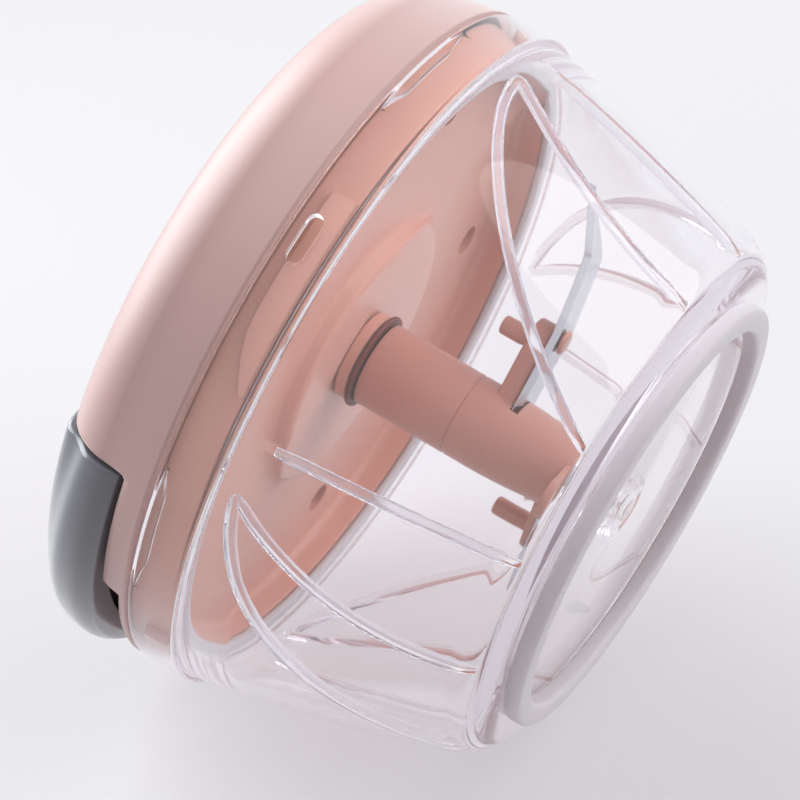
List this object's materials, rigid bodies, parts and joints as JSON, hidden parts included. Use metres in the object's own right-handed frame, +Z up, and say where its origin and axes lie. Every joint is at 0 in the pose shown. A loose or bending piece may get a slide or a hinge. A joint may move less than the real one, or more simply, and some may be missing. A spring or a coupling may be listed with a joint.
{
  "type": "manual food chopper",
  "caption": "Hand-pulled food chopper: ribbed clear bowl with a foot ring, twist-on lid with a cord reel and a pull handle, and a column with swept blades.",
  "frame": {"origin": "centre of the surface that the chopper stands on, on the bowl's axis", "axes": "+Z up the bowl's axis from the foot to the lid; the pull handle faces -Y; +X to the right"},
  "size_m": [0.1248, 0.1267, 0.0829],
  "materials": {
    "clear_plastic": "clear, polished",
    "foot_silicone": "milky silicone, satin",
    "seal_silicone": "milky silicone, satin",
    "cover_pink": "fine matt",
    "inner_pink": "satin",
    "handle_grey": "fine matt",
    "dark_plastic": "satin",
    "nylon": "satin",
    "brown_rubber": "satin",
    "cord": "braided",
    "steel": "bright",
    "spring_steel": "oiled",
    "blade_steel": "ground and polished"
  },
  "bodies": {
    "bowl": {"bowl": "clear_plastic", "foot_ring": "foot_silicone", "bowl_pin": "steel"},
    "seal": {"lid_seal": "seal_silicone"},
    "lid": {"lid_base": "inner_pink", "lid_cover": "cover_pink", "lid_screw_1": "steel", "lid_screw_2": "steel", "lid_screw_3": "steel", "lid_screw_4": "steel", "lid_axle": "steel", "spring_disc": "steel", "return_spring": "spring_steel", "cord_guide": "nylon", "cord_lead": "cord"},
    "reel": {"cord_reel": "nylon", "cord_winding": "cord"},
    "pawl_one": {"pawl_1": "dark_plastic"},
    "pawl_two": {"pawl_2": "dark_plastic"},
    "handle": {"handle_grip": "handle_grey", "handle_back": "dark_plastic", "cord_stop": "cord", "cord_tail": "cord"},
    "blades": {"drive_hub": "nylon", "hub_collar": "inner_pink", "shaft_washer": "brown_rubber", "blade_column": "inner_pink", "upper_blade": "blade_steel", "lower_blade": "blade_steel"}
  },
  "joints": [
    {"name": "lid_lift", "type": "slide", "parent": "bowl", "child": "seal", "axis": [0, 0, 1], "range_m": [0, 0.1]},
    {"name": "lid_twist", "type": "hinge", "parent": "seal", "child": "lid", "pos_m": [0, 0, 0.0624], "axis": [0, 0, 1], "range_deg": [-30, 0]},
    {"name": "handle_pull", "type": "slide", "parent": "lid", "child": "handle", "axis": [0, -1, 0], "range_m": [0, 0.28], "stiffness_N_per_m": 30, "springref_m": -0.1},
    {"name": "reel_spin", "type": "hinge", "parent": "lid", "child": "reel", "pos_m": [0, 0, 0.0654], "axis": [0, 0, 1], "range_deg": [0, 882]},
    {"name": "blade_spin", "type": "hinge", "parent": "lid", "child": "blades", "pos_m": [0, 0, 0.0535], "axis": [0, 0, 1], "range_deg": [0, 882]},
    {"name": "pawl_1_swing", "type": "hinge", "parent": "reel", "child": "pawl_one", "pos_m": [0.008, 0, 0.0638], "axis": [0, 0, 1], "range_deg": [0, 15]},
    {"name": "pawl_2_swing", "type": "hinge", "parent": "reel", "child": "pawl_two", "pos_m": [-0.008, 0, 0.0638], "axis": [0, 0, 1], "range_deg": [0, 15]}
  ],
  "couplings": [
    {"joint": "reel_spin", "follows": "handle_pull", "rad_per_m": 54.945},
    {"joint": "blade_spin", "follows": "handle_pull", "rad_per_m": 54.945}
  ]
}
